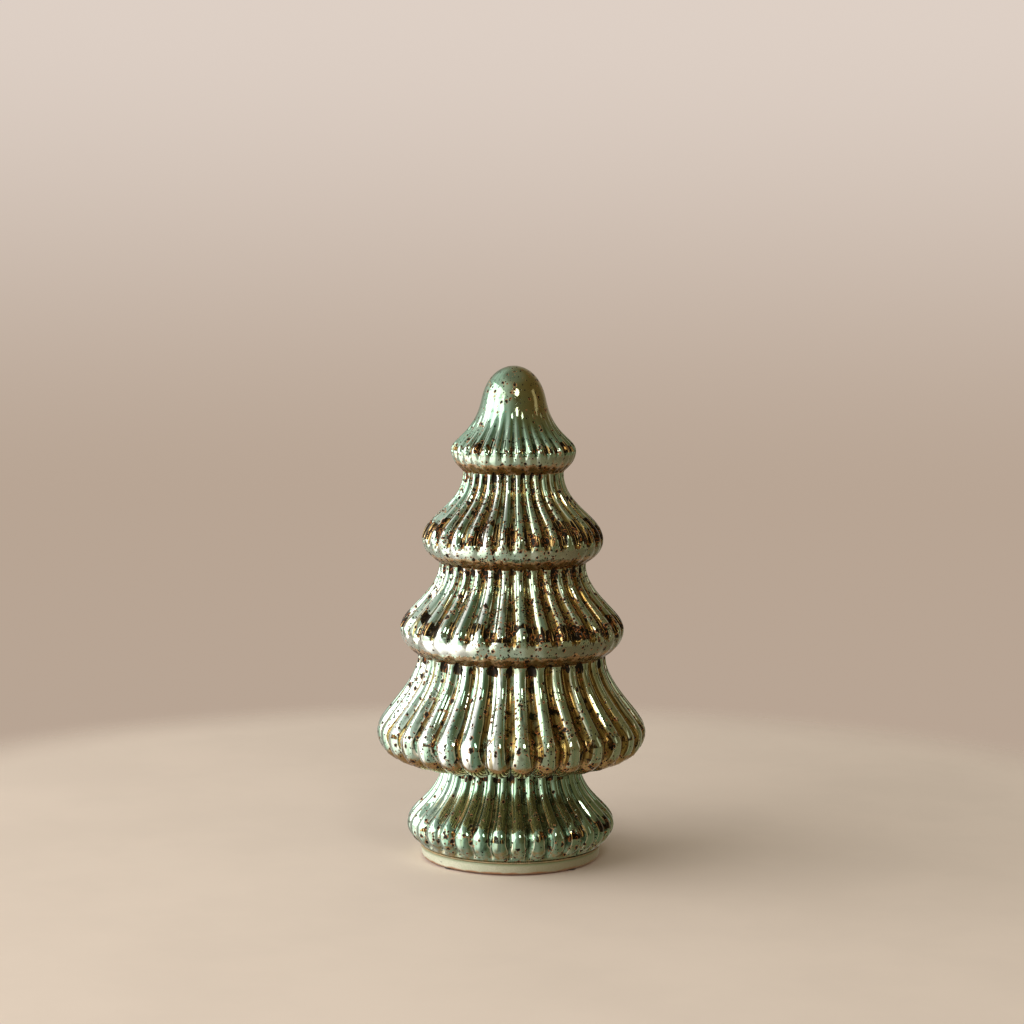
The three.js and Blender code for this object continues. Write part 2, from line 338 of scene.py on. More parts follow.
def hollow_outline():
    """Points of the hollow's outline from the seat up, a wall's width behind the grooves."""
    points = [(SEAT_BORE, 0.0)]
    for kind, bell, turns in body_curves():
        shares = HOLLOW_SHARES[kind]
        places, outward = bezier(turns, shares)
        for share, place, out in zip(shares, places, outward):
            points.append(tuple(place - out * (groove_depth(kind, bell, share) + WALL)))
    return np.array(points)


def hashed(values, seed):
    """A repeatable number from 0 to 1 for each whole number."""
    wave = np.sin(values * 12.9898 + seed * 78.233) * 43758.5453
    return wave - np.floor(wave)


def mesh_of(name, vertices, faces):
    """A smooth object of points and of faces that all have the same number of corners."""
    mesh = bpy.data.meshes.new(name)
    faces = np.asarray(faces, np.int32)
    corners = faces.shape[1]
    mesh.vertices.add(len(vertices))
    mesh.vertices.foreach_set("co", np.asarray(vertices, np.float32).ravel())
    mesh.loops.add(faces.size)
    mesh.loops.foreach_set("vertex_index", faces.ravel())
    mesh.polygons.add(len(faces))
    mesh.polygons.foreach_set("loop_start", np.arange(0, faces.size, corners, dtype=np.int32))
    mesh.update(calc_edges=True)
    mesh.validate()
    mesh.polygons.foreach_set("use_smooth", [True] * len(mesh.polygons))
    piece = bpy.data.objects.new(name, mesh)
    bpy.context.scene.collection.objects.link(piece)
    return piece


def ring_faces(rows, around, first=0):
    """Four-cornered faces between rows of points that close on themselves round the axis."""
    i, j = np.meshgrid(np.arange(rows - 1), np.arange(around), indexing="ij")
    k = (j + 1) % around
    quads = np.stack([i * around + j, i * around + k, (i + 1) * around + k, (i + 1) * around + j], -1)
    return quads.reshape(-1, 4) + first


def close_with_fans(piece, around, total):
    """Joins the first and last rows of a ringed mesh to the lone points at its two ends."""
    bm = bmesh.new()
    bm.from_mesh(piece.data)
    bm.verts.ensure_lookup_table()
    first, last = bm.verts[0], bm.verts[len(bm.verts) - 1]
    top = 1 + (total - 1) * around
    for step in range(around):
        after = (step + 1) % around
        bm.faces.new((first, bm.verts[1 + after], bm.verts[1 + step])).smooth = True
        bm.faces.new((last, bm.verts[top + step], bm.verts[top + after])).smooth = True
    bm.to_mesh(piece.data)
    bm.free()


def put_layer(piece, name, values, kind="FLOAT", field="value"):
    """Gives each point of a piece a value that its material can read."""
    layer = piece.data.attributes.new(name, kind, "POINT")
    layer.data.foreach_set(field, np.asarray(values, np.float32).ravel())


def glass_outside(rows, around):
    """Places of the ribbed outside in rows by steps, how far each is from its rib's crest, and how
    far each step faces left (-1) or right (1) of its rib."""

    def column(key):
        return np.array([row[key] for row in rows])[:, None]

    step = np.arange(around)
    share = (step % STEPS_PER_RIB) / STEPS_PER_RIB
    rib = step // STEPS_PER_RIB
    width = column("width")
    from_bottom = 1 - np.abs(2 * share - 1)[None]
    across = 1 - np.clip(from_bottom / np.maximum(width, NARROWEST), 0, 1)
    lobe = 1 - np.sqrt(1 - (LOBE_FULLNESS * across) ** 2)
    lobe = lobe / (1 - math.sqrt(1 - LOBE_FULLNESS**2))
    band = CROWNING * across**2 + (1 - CROWNING) * smoothstep(across, *SIDES)
    cut = column("round") * lobe + (1 - column("round")) * band
    vary = 1 + RIB_VARIATION * (hashed(rib, DEPTH_SEED) - 0.5)[None]
    depth = column("groove") * cut * vary * smoothstep(width, 0.0, 1.0) + CLEARANCE
    wave = 0.5 + 0.5 * np.cos(2 * math.pi * share)[None]
    depth = depth + COLLAR_WAVE * column("collar") * wave
    flat_angle = 2 * math.pi * (step / around)[None] - math.pi / 2
    height = column("height")
    angle = flat_angle
    for size, waves, rise in DRIFTS:
        angle = angle + size * np.sin(waves * flat_angle + height / rise)
    swell = SWELL * np.sin(SWELL_WAVES * angle + height / SWELL_HEIGHTS[0])
    swell = swell * np.sin(height / SWELL_HEIGHTS[1]) - SWELL
    radius = column("radius") + swell * (1 - column("dome")) - depth * column("out_r")
    height = height - depth * column("out_z")
    places = np.stack([radius * np.cos(angle), radius * np.sin(angle), height], -1)
    return places, across, -np.sin(2 * math.pi * share)


def glass_body():
    """The hollow glass: its ribbed outside, its plain inside, and the values its finish reads."""
    rows = body_rows()
    around = RIB_COUNT * STEPS_PER_RIB
    crown = rows.pop()
    outside, across, side = glass_outside(rows, around)
    apex = [[0, 0, crown["height"] - CLEARANCE]]
    hollow = hollow_outline()
    inner_radius, inner_height = hollow[:-1, :1], hollow[:-1, 1:]
    turn = 2 * math.pi * np.arange(around) / around - math.pi / 2
    inside = [inner_radius * np.cos(turn), inner_radius * np.sin(turn), inner_height + 0 * turn]
    inside = np.stack(inside, -1)[::-1]
    inner_apex = [[0, 0, hollow[-1][1]]]
    # Inner apex, the inside down to the seat, the outside up to the crown, and the crown
    points = np.concatenate([inner_apex, inside.reshape(-1, 3), outside.reshape(-1, 3), apex])
    points = points * MM + np.array([0, 0, SEAT_Z * MM])
    total = len(inside) + len(outside)
    piece = mesh_of("glass_tree_fine", points, ring_faces(total, around, 1))
    close_with_fans(piece, around, total)

    start = 1 + len(inside) * around
    lengths = [
        math.hypot(b["radius"] - a["radius"], b["height"] - a["height"])
        for a, b in zip(rows, rows[1:])
    ]
    along = np.cumsum([0] + lengths)
    ring = np.stack([FLOW_RADIUS * np.cos(turn), FLOW_RADIUS * np.sin(turn)], -1)
    flow = np.zeros((len(points), 3), np.float32)
    flow[start:-1, :2] = np.tile(ring, (len(rows), 1))
    flow[start:-1, 2] = np.repeat(along, around)
    flow[-1] = (0, 0, along[-1])
    put_layer(piece, "rib_flow", flow * MM, "FLOAT_VECTOR", "vector")
    values = np.zeros(len(points), np.float32)
    for key in ROW_VALUES:
        values[start:-1] = np.repeat([row[key] for row in rows], around)
        values[-1] = crown[key]
        put_layer(piece, key, values)
    values[-1] = 0
    values[start:-1] = across.ravel()
    put_layer(piece, "across", values)
    values[start:-1] = np.tile(side, len(rows))
    put_layer(piece, "side", values)
    chance = hashed(np.arange(around) // STEPS_PER_RIB, CHANCE_SEED)
    values[start:-1] = np.tile(chance, len(rows))
    put_layer(piece, "rib_chance", values)
    return piece


def rounded(outline, radius):
    """A closed outline of (radius, height) points with each corner rounded off."""
    points = [np.array(p, float) for p in outline]
    out = []
    for i, here in enumerate(points):
        to_before, to_after = points[i - 1] - here, points[(i + 1) % len(points)] - here
        before, after = np.linalg.norm(to_before), np.linalg.norm(to_after)
        reach = min(radius, before / SIDE_TO_CORNER, after / SIDE_TO_CORNER)
        a = here + to_before / before * reach
        b = here + to_after / after * reach
        for t in np.linspace(0, 1, CORNER_STEPS + 1):
            out.append((1 - t) ** 2 * a + 2 * (1 - t) * t * here + t * t * b)
    return np.array(out)


def split_long(outline, longest):
    """A closed outline with points added so that no side is longer than longest."""
    out = []
    for here, after in zip(outline, np.roll(outline, -1, axis=0)):
        count = max(1, math.ceil(np.linalg.norm(after - here) / longest))
        out.extend(here + (after - here) * k / count for k in range(count))
    return np.array(out)


def band(inner, outer, height):
    """The outline of a plain ring."""
    return [(inner, 0), (outer, 0), (outer, height), (inner, height)]


def turned_ring(name, outline, base_z, around, corner, longest, centre=(0, 0), ripple=None):
    """A closed ring turned from a closed outline that runs anticlockwise in radius and height, with
    its corners rounded off and no side longer than longest."""
    outline = split_long(rounded(outline, corner), longest)
    angle = 2 * math.pi * np.arange(around) / around
    radius = outline[:, :1] + np.zeros(around)
    height = outline[:, 1:] + np.zeros(around)
    if ripple is not None:
        radius = radius + ripple(angle[None], height)
    points = np.stack([radius * np.cos(angle), radius * np.sin(angle), height], -1)
    points = (points + np.array([centre[0], centre[1], base_z])).reshape(-1, 3) * MM
    quads = ring_faces(len(outline) + 1, around) % len(points)
    return mesh_of(name, points, quads[:, ::-1])


def foot_ring():
    def ripple(angle, height):
        broad, fine = FOOT_WAVES
        wave = broad * np.sin(3 * angle + 0.7) + fine * np.sin(7 * angle + height)
        return wave - (broad + fine)

    outline = [
        (REBATE_RADIUS, 0),
        (SEAT_RADIUS - FOOT_TAPER, 0),
        (SEAT_RADIUS, FOOT_HEIGHT),
        (SPIGOT_RADIUS, FOOT_HEIGHT),
        (SPIGOT_RADIUS, FOOT_HEIGHT + SPIGOT_HEIGHT),
        (FOOT_BORE, FOOT_HEIGHT + SPIGOT_HEIGHT),
        (FOOT_BORE, REBATE_DEPTH),
        (REBATE_RADIUS, REBATE_DEPTH),
    ]
    return turned_ring("foot_ring_fine", outline, PAD_HEIGHT, FOOT_STEPS,
                       corner=0.8, longest=0.8, ripple=ripple)


def cement_bead():
    def ripple(angle, height):
        return CEMENT_WAVE * np.sin(11 * angle) * np.sin(3 * angle + 1) - CEMENT_WAVE

    outline = band(SEAT_BORE, SEAT_RADIUS + CEMENT_PROUD, CEMENT_HEIGHT)
    return turned_ring("cement_bead_fine", outline, PAD_HEIGHT + FOOT_HEIGHT, FOOT_STEPS,
                       corner=0.36, longest=0.5, ripple=ripple)


def base_disc():
    outline = band(STOPPER_HOLE, REBATE_RADIUS - DISC_GAP, DISC_THICKNESS)
    return turned_ring("base_disc_fine", outline, DISC_Z, DISC_STEPS, corner=0.35, longest=2.5)


def stopper():
    stem = STOPPER_HOLE - STOPPER_GAP
    barb_z = STOPPER_FLANGE_HEIGHT + DISC_THICKNESS
    nose_z = barb_z + STOPPER_BARB_HEIGHT + STOPPER_NOSE_HEIGHT
    outline = [
        (AXIS_BORE, STOPPER_DISH_DEPTH),
        (STOPPER_DISH_FLOOR, STOPPER_DISH_DEPTH),
        (STOPPER_DISH, 0),
        (STOPPER_FLANGE, 0),
        (STOPPER_FLANGE, STOPPER_FLANGE_HEIGHT),
        (stem, STOPPER_FLANGE_HEIGHT),
        (stem, barb_z),
        (STOPPER_BARB, barb_z),
        (STOPPER_BARB, barb_z + STOPPER_BARB_HEIGHT),
        (STOPPER_NOSE, nose_z),
        (AXIS_BORE, nose_z),
    ]
    return turned_ring("stopper_fine", outline, DISC_Z - STOPPER_FLANGE_HEIGHT, STOPPER_STEPS,
                       corner=0.35, longest=1.5)


def pad(number):
    """A felt disc with a soft edge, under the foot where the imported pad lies."""

    def ripple(angle, height):
        return FELT_FUZZ * np.sin(17 * angle + 5 * height) - FELT_FUZZ

    low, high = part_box(f"pad_{number}")
    centre = (low + high) / 2 / MM
    outline = band(AXIS_BORE, PAD_RADIUS, PAD_HEIGHT)
    return turned_ring(f"pad_{number}_fine", outline, 0, PAD_STEPS, corner=0.2, longest=0.5,
                       centre=(centre.x, centre.y), ripple=ripple)


class Nodes:
    """The node tree of a material or world, with short calls for the nodes used here."""

    def __init__(self, owner):
        owner.use_nodes = True
        self.tree = owner.node_tree

    def new(self, kind, **settings):
        node = self.tree.nodes.new(kind)
        for key, value in settings.items():
            setattr(node, key, value)
        return node

    def put(self, socket, value):
        if isinstance(value, bpy.types.NodeSocket):
            self.tree.links.new(value, socket)
        elif value is not None:
            socket.default_value = value

    def math(self, operation, a, b=None, clamp=False):
        node = self.new("ShaderNodeMath", operation=operation, use_clamp=clamp)
        self.put(node.inputs[0], a)
        self.put(node.inputs[1], b)
        return node.outputs[0]

    def plus(self, a, b):
        return self.math("ADD", a, b)

    def times(self, a, b):
        return self.math("MULTIPLY", a, b)

    def minus(self, a, b, clamp=False):
        return self.math("SUBTRACT", a, b, clamp)

    def most(self, first, *others):
        for other in others:
            first = self.math("MAXIMUM", first, other)
        return first

    def sway(self, noise, size):
        """A noise moved to run about 0, times size."""
        return self.times(self.minus(noise, 0.5), size)

    def span(self, value, low, high, to_low=0.0, to_high=1.0):
        """value eased from low..high to to_low..to_high."""
        node = self.new("ShaderNodeMapRange", interpolation_type="SMOOTHSTEP")
        for index, item in enumerate((value, low, high, to_low, to_high)):
            self.put(node.inputs[index], item)
        return node.outputs[0]

    def line(self, value, place, reach):
        """1 where value is at place, falling to 0 at reach on both sides of it."""
        return self.span(self.math("ABSOLUTE", self.minus(value, place)), 0.0, reach, 1.0, 0.0)

    def mix(self, share, a, b):
        node = self.new("ShaderNodeMix", data_type="RGBA")
        self.put(node.inputs["Factor"], share)
        self.put(node.inputs[6], (*a, 1) if isinstance(a, tuple) else a)
        self.put(node.inputs[7], (*b, 1) if isinstance(b, tuple) else b)
        return node.outputs[2]

    def parts(self, vector):
        """The parts of a vector to the right, to the back and up."""
        node = self.new("ShaderNodeSeparateXYZ")
        self.put(node.inputs[0], vector)
        return node.outputs


class Finish(Nodes):
    """A new material's nodes, with its shader and object space."""

    def __init__(self, name):
        self.material = bpy.data.materials.new(name)
        super().__init__(self.material)
        self.shader = self.tree.nodes["Principled BSDF"]
        self.space = self.new("ShaderNodeTexCoord").outputs["Object"]

    def attribute(self, name, output="Fac"):
        return self.new("ShaderNodeAttribute", attribute_name=name).outputs[output]

    def place(self, vector, scale, offset=(0, 0, 0)):
        node = self.new("ShaderNodeMapping")
        self.put(node.inputs["Vector"], vector)
        node.inputs["Scale"].default_value = scale
        node.inputs["Location"].default_value = offset
        return node.outputs[0]

    def noise(self, vector, scale, detail=3.0, roughness=0.55, distortion=0.0):
        node = self.new("ShaderNodeTexNoise")
        self.put(node.inputs["Vector"], vector)
        node.inputs["Scale"].default_value = scale
        node.inputs["Detail"].default_value = detail
        node.inputs["Roughness"].default_value = roughness
        node.inputs["Distortion"].default_value = distortion
        return node.outputs["Fac"]

    def wander(self, vector, scale):
        """A direction that changes smoothly from place to place."""
        node = self.new("ShaderNodeTexNoise")
        self.put(node.inputs["Vector"], vector)
        node.inputs["Scale"].default_value = scale
        node.inputs["Detail"].default_value = 1.0
        centred = self.new("ShaderNodeVectorMath", operation="SUBTRACT")
        self.put(centred.inputs[0], node.outputs["Color"])
        centred.inputs[1].default_value = (0.5, 0.5, 0.5)
        return centred.outputs[0]

    def cells(self, vector, scale):
        """How far each place is from its cell's middle, and two numbers of that cell's own."""
        node = self.new("ShaderNodeTexVoronoi")
        self.put(node.inputs["Vector"], vector)
        node.inputs["Scale"].default_value = scale
        pick = self.new("ShaderNodeSeparateColor")
        self.put(pick.inputs[0], node.outputs["Color"])
        return node.outputs["Distance"], pick.outputs[0], pick.outputs[1]

    def bump(self, height, strength, distance):
        node = self.new("ShaderNodeBump")
        self.put(node.inputs["Height"], height)
        node.inputs["Strength"].default_value = strength
        node.inputs["Distance"].default_value = distance
        return node.outputs[0]

    def set(self, **values):
        for key, value in values.items():
            self.put(self.shader.inputs[key.replace("_", " ")], value)

    def dull(self, colour, grain, rough, strength, distance):
        """A dull surface whose roughness runs over rough with its grain, which is also its bump."""
        self.set(Base_Color=colour, Roughness=self.span(grain, 0.2, 0.8, *rough))
        self.set(Normal=self.bump(grain, strength, distance))


# Specks: how far their ragged outline strays, in cells, and how finely, how small the smallest are as
# a share of the size, and where their soft edge begins as a share of their own radius
RAGGEDNESS = 0.55
RAGGED_FINENESS = 2.2
SMALLEST_SPECK = 0.35
SPECK_EDGE = 0.75


def specks(n, vector, scale, size, spread):
    """Round specks of about size in their cells, more of them where spread is high."""
    ragged = n.new("ShaderNodeVectorMath", operation="SCALE")
    n.put(ragged.inputs[0], n.wander(vector, scale * RAGGED_FINENESS))
    ragged.inputs["Scale"].default_value = RAGGEDNESS / scale
    moved = n.new("ShaderNodeVectorMath", operation="ADD")
    n.put(moved.inputs[0], vector)
    n.put(moved.inputs[1], ragged.outputs[0])
    distance, chance, wide = n.cells(moved.outputs[0], scale)
    edge = n.plus(n.times(wide, size), size * SMALLEST_SPECK)
    dot = n.span(distance, n.times(edge, SPECK_EDGE), edge, 1.0, 0.0)
    return n.times(dot, n.math("LESS_THAN", chance, spread))


# Colours of the silvered glass, as linear red, green and blue: the greens of the crests, the tones
# of the tarnish and its pools, the metal and rust of the collars, and the painted highlights and shade
MINT_HIGHLIGHT = (0.93, 0.96, 0.91)
CELADON = (0.40, 0.58, 0.45)
SEA_GREEN = (0.19, 0.34, 0.235)
BASE_GREEN = (0.175, 0.30, 0.205)
SAGE = (0.42, 0.42, 0.26)
DEEP_GREEN = (0.03, 0.055, 0.03)
OLIVE = (0.30, 0.22, 0.065)
BROWN = (0.13, 0.07, 0.018)
GOLD = (0.75, 0.52, 0.20)
TAN = (0.46, 0.27, 0.13)
CREAM_HIGHLIGHT = (0.92, 0.86, 0.68)
SILVER_HIGHLIGHT = (0.92, 0.96, 0.93)
SILVER_BEIGE = (0.56, 0.58, 0.46)
RUST = (0.40, 0.13, 0.03)
RUST_BROWN = (0.14, 0.075, 0.018)
SOOT = (0.011, 0.007, 0.003)

# Fineness of the glass's noises, and of its three kinds of specks with the sizes of those and of
# their rusty rims
STREAKS = 420
THREADS = 1300
CLOUDS = 38
MOTTLE = 230
GRAIN = 1100
BLOTCHES = 95
SMALL_SPECKS = 950
MIDDLING_SPECKS = 520
LARGE_SPECKS = 310
SMALL_SIZE = 0.38
MIDDLING_SIZE = 0.36
MIDDLING_RIM = 0.50
LARGE_SIZE = 0.32
LARGE_RIM = 0.44

# Tarnish starts where its reach, from the crest at 0 to the groove's bottom at 1, passes
# TARNISH_EDGE. The rest are how far the side (painted shade on each rib's right-facing flank), streaks,
# shade and age (painted shade of the right side and heavier tarnish there), lobe tips and lack of
# tarnish move it, and where the painted highlight thread and the painted shade line beside that edge
# are.
TARNISH_EDGE = (0.48, 0.54)
RIGHT_FLANK_SHADE_REACH = 0.12
STREAK_REACH = 0.4
SHADE_AND_AGE_REACH = 0.45
SHADE_AND_AGE_MIDDLE = 0.65
TIP_REACH = 0.3
FRESH_REACH = 0.25
HIGHLIGHT_LINE = 0.46
SHADE_LINE = 0.535
LINE_REACH = 0.05
LINE_STRENGTH = 0.85

# Metres from the left to the right over which the finish is painted darker and browner, which is
# painted shade of the right side as well as heavier tarnish there, and to the left over which a painted
# highlight makes it brighter, and how far both drift from place to place
SHADE_AND_AGE_SPAN = (-0.03, 0.03)
HIGHLIGHT_SPAN = (-0.02, -0.045)
ASIDE_DRIFT = 0.05

DIELECTRIC_SHINE = 0.15  # specular level of what isn't metal, so that the blacks stay dark


class GlassInputs:
    """What the glass's mesh and noises say about each place: aside is how far to the right it is in
    metres, shade_and_age how far it is painted darker towards the right, as painted shade of the right
    side and heavier tarnish, from 0 to 1, and reach how far into the tarnish."""

    def __init__(self, n):
        self.n = n
        for name in (*ROW_VALUES, "across", "side", "rib_chance"):
            setattr(self, name, n.attribute(name))
        flow = n.attribute("rib_flow", "Vector")
        self.streaks = n.noise(n.place(flow, (1, 1, 0.1)), STREAKS, 4.0, 0.6)
        self.threads = n.noise(n.place(flow, (1, 1, 0.04), (0.3, 0.2, 0.1)), THREADS, 3.0, 0.6)
        self.clouds = n.noise(n.space, CLOUDS, 3.0, 0.5)
        self.mottle = n.noise(n.space, MOTTLE, 4.0, 0.6)
        self.grain = n.noise(n.space, GRAIN, 3.0, 0.6)
        self.aside = n.plus(n.parts(n.space)[0], n.sway(self.clouds, ASIDE_DRIFT))
        self.shade_and_age = n.span(self.aside, *SHADE_AND_AGE_SPAN)
        # Painted shade: the tarnish reaches further on each rib's right-facing flank
        reach = n.plus(self.across, n.times(self.side, RIGHT_FLANK_SHADE_REACH))
        reach = n.plus(reach, n.sway(self.streaks, STREAK_REACH))
        # The tarnish reaches further towards the right: painted shade of the right side as well as
        # heavier tarnish
        reach = n.plus(reach, n.times(n.minus(self.shade_and_age, SHADE_AND_AGE_MIDDLE), SHADE_AND_AGE_REACH))
        reach = n.minus(reach, n.times(self.tips, TIP_REACH))
        self.reach = n.minus(reach, n.times(n.minus(1.0, self.tarnish), FRESH_REACH))

    def on_base(self, full):
        """full on the base bell, and 0 on every other."""
        return self.n.span(self.tarnish, TOP_TARNISH, BASE_TARNISH, 0.0, full)

    def by_tarnish(self, base, tiers):
        """From the value for the base bell to the one for the tiers."""
        return self.n.span(self.tarnish, BASE_TARNISH, WIDEST_TARNISH, base, tiers)


def crest_colour(n, g):
    """Patches from celadon to sea green, a painted highlight of mint on the left, painted shade of sage
    on the right and of olive on the dome's right, with older runs.
    """
    green = n.mix(n.span(g.clouds, 0.36, 0.64), SEA_GREEN, CELADON)
    low_green = n.mix(n.span(g.aside, -0.03, 0.0), SEA_GREEN, BASE_GREEN)
    green = n.mix(g.on_base(0.85), green, low_green)
    # Painted highlight: the crests are lightened towards mint to the left
    green = n.mix(n.times(n.span(g.aside, *HIGHLIGHT_SPAN), 0.3), green, MINT_HIGHLIGHT)
    green = n.mix(n.span(g.mottle, 0.5, 0.72, 0.0, 0.7), green, SEA_GREEN)
    green = n.mix(n.span(g.mottle, 0.28, 0.43, 0.75, 0.0), green, DEEP_GREEN)
    # Sage towards the right is painted shade of the right side
    green = n.mix(n.times(g.shade_and_age, g.by_tarnish(0.25, 0.6)), green, SAGE)
    # Painted highlight: mint on the left-facing sides of the crests on the left of the tree
    painted_highlight = n.times(n.span(n.plus(g.side, g.streaks), 0.95, 0.35), n.span(g.aside, 0.006, -0.014))
    painted_highlight = n.times(painted_highlight, g.by_tarnish(0.15, 1.0))
    green = n.mix(n.times(painted_highlight, n.span(g.dome, 0.0, 1.0, 0.9, 0.35)), green, MINT_HIGHLIGHT)
    ribbed = n.span(g.dome, 0.0, 0.6, 1.0, 0.15)
    dark_run = n.times(n.span(g.threads, 0.53, 0.6, 0.0, 0.75), ribbed)
    dark_run = n.times(dark_run, n.span(g.across, 0.02, 0.2, 0.45, 1.0))
    green = n.mix(dark_run, green, SEA_GREEN)
    old_run = n.times(n.span(g.streaks, 0.56, 0.64, 0.0, 0.8), ribbed)
    old_run = n.times(old_run, g.by_tarnish(0.4, 1.0))
    green = n.mix(old_run, green, n.mix(n.span(g.threads, 0.45, 0.55), DEEP_GREEN, OLIVE))
    # Painted shade: olive on the right of the dome
    dome_right_shade = n.times(g.dome, n.span(g.aside, -0.012, 0.01))
    return n.mix(n.times(dome_right_shade, 0.8), green, OLIVE)


def tarnish_colour(n, g):
    """Browns in the grooves, with dark green on the base bell and here and there on the left. They
    are fully brown towards the right, which is painted shade of the right side as well as tarnish.
    """
    brown = n.mix(n.span(g.threads, 0.38, 0.62), BROWN, OLIVE)
    brown = n.mix(n.span(g.mottle, 0.53, 0.62), brown, SOOT)
    dark_green = n.mix(n.span(g.mottle, 0.42, 0.56), SEA_GREEN, DEEP_GREEN)
    dark_green = n.mix(g.on_base(0.2), dark_green, BASE_GREEN)
    brown = n.mix(g.by_tarnish(0.1, 1.0), dark_green, brown)
    left_brown = n.mix(n.span(g.streaks, 0.42, 0.55), dark_green, brown)
    return n.mix(g.shade_and_age, left_brown, brown)


def lined(n, g, colour):
    """Adds painted highlight threads and painted shade lines beside the tarnish's edge, and painted
    shade in the bottoms between the lobes. Gives the colour and where that shade in the bottoms is."""
    highlight_thread = n.times(n.line(g.reach, HIGHLIGHT_LINE, LINE_REACH), g.grooved)
    highlight_thread = n.times(highlight_thread, n.span(g.threads, 0.4, 0.5))
    colour = n.mix(n.times(highlight_thread, LINE_STRENGTH), colour, CREAM_HIGHLIGHT)
    shade = n.times(n.line(g.reach, SHADE_LINE, LINE_REACH), g.grooved)
    shade = n.times(shade, n.span(g.side, -0.1, 0.3))
    colour = n.mix(n.times(shade, LINE_STRENGTH), colour, SOOT)
    # Painted shade in the groove bottoms between the lobes
    bottom = n.plus(g.across, n.sway(g.threads, 0.25))
    crevice_shade = n.times(n.span(bottom, 0.9, 0.99), n.times(g.tips, g.grooved))
    return n.mix(n.times(crevice_shade, LINE_STRENGTH), colour, SOOT), crevice_shade


def bare_zones(n, g):
    """Collars, silver on the left as a painted highlight, celadon in patches, brown on the right as
    painted shade, rust and painted shade towards the neck, and tan tips of lobes, which are tarnish and
    painted shade under them. Gives their colour, where they are and how far rust and shade darken them."""
    # Painted highlight on the left of the collars and painted shade on their right
    colour = n.mix(n.span(g.aside, -0.035, -0.008), SILVER_HIGHLIGHT, SILVER_BEIGE)
    colour = n.mix(n.span(g.clouds, 0.4, 0.6, 0.15, 0.75), colour, CELADON)
    colour = n.mix(n.span(g.aside, 0.008, 0.03, 0.0, 0.6), colour, BROWN)
    colour = n.mix(n.span(g.mottle, 0.58, 0.68, 0.0, 0.5), colour, TAN)
    # Rust and painted shade towards the neck under a bell
    rust_and_shade_level = n.plus(g.rust, n.sway(g.mottle, 1.6))
    rust_and_shade_tone = n.span(rust_and_shade_level, 0.35, 0.6, 0.0, 0.9)
    colour = n.mix(rust_and_shade_tone, colour, TAN)
    colour = n.mix(n.span(rust_and_shade_level, 0.65, 0.9), colour, RUST_BROWN)
    # Tan under the lobes: tarnish and painted shade
    tipped = n.span(n.plus(g.tips, n.sway(g.mottle, 1.2)), 0.2, 0.6)
    tip_colour = n.mix(n.span(g.grain, 0.4, 0.6), TAN, OLIVE)
    colour = n.mix(n.times(tipped, n.span(g.tips, 0.0, 0.2)), colour, tip_colour)
    edge = n.plus(n.most(g.collar, g.tips, g.rust), n.sway(g.mottle, 0.9))
    return colour, n.span(edge, 0.3, 0.7), rust_and_shade_tone


def pooled(n, g):
    """Dark pools low in the grooves, which are tarnish, and under the collars, which are tarnish and
    painted shade, with golden glints. Gives their colour and where they are."""
    blotches = n.noise(n.place(n.space, (1, 1, 0.7), (0.5, 0.8, 0.2)), BLOTCHES, 2.0, 0.5)
    spread = n.plus(g.reach, n.span(blotches, 0.46, 0.6, 0.05, 0.75))
    low = n.times(g.pools, n.span(spread, 0.35, 0.55))
    low = n.times(low, n.span(g.rib_chance, 0.05, 0.7, 0.5, 1.1))
    low = n.times(low, n.span(blotches, 0.4, 0.58, 0.55, 1.4))
    # Under the collars: tarnish and painted shade in the pockets of the grooves
    high = n.times(g.neck, n.span(g.across, 0.25, 0.5))
    high = n.times(high, n.span(blotches, 0.4, 0.56, 0.45, 1.1))
    deep = n.plus(n.most(low, high), n.sway(g.mottle, 0.9))
    colour = n.mix(n.span(g.mottle, 0.56, 0.7), SOOT, RUST_BROWN)
    glint = n.times(n.span(g.threads, 0.56, 0.62), n.minus(1.0, g.neck, clamp=True))
    return n.mix(n.times(glint, 0.9), colour, GOLD), n.span(deep, 0.48, 0.62)


def freckled(n, g):
    """Specks, fewer on clean collars and more where rust and painted shade lie and at the tips, and
    their rusty rims.
    """
    crowd = n.times(g.freckles, n.span(g.collar, 0.0, 1.0, 0.7, 0.3))
    crowd = n.plus(crowd, n.times(g.rust, 0.45))
    crowd = n.plus(crowd, n.times(g.tips, 0.3))
    crowd = n.times(crowd, n.span(g.clouds, 0.38, 0.62, 0.3, 1.4))
    few = n.times(crowd, 0.5)
    squeezed = n.place(n.space, (1, 1, 0.75))
    shifted = n.place(n.space, (1, 1, 0.85), (0.3, 0.1, 0.7))
    spot = n.most(
        specks(n, squeezed, SMALL_SPECKS, SMALL_SIZE, crowd),
        specks(n, shifted, MIDDLING_SPECKS, MIDDLING_SIZE, crowd),
        specks(n, squeezed, LARGE_SPECKS, LARGE_SIZE, few),
    )
    rim = n.most(
        specks(n, shifted, MIDDLING_SPECKS, MIDDLING_RIM, crowd),
        specks(n, squeezed, LARGE_SPECKS, LARGE_RIM, few),
    )
    return spot, n.times(rim, n.span(g.grain, 0.42, 0.54))


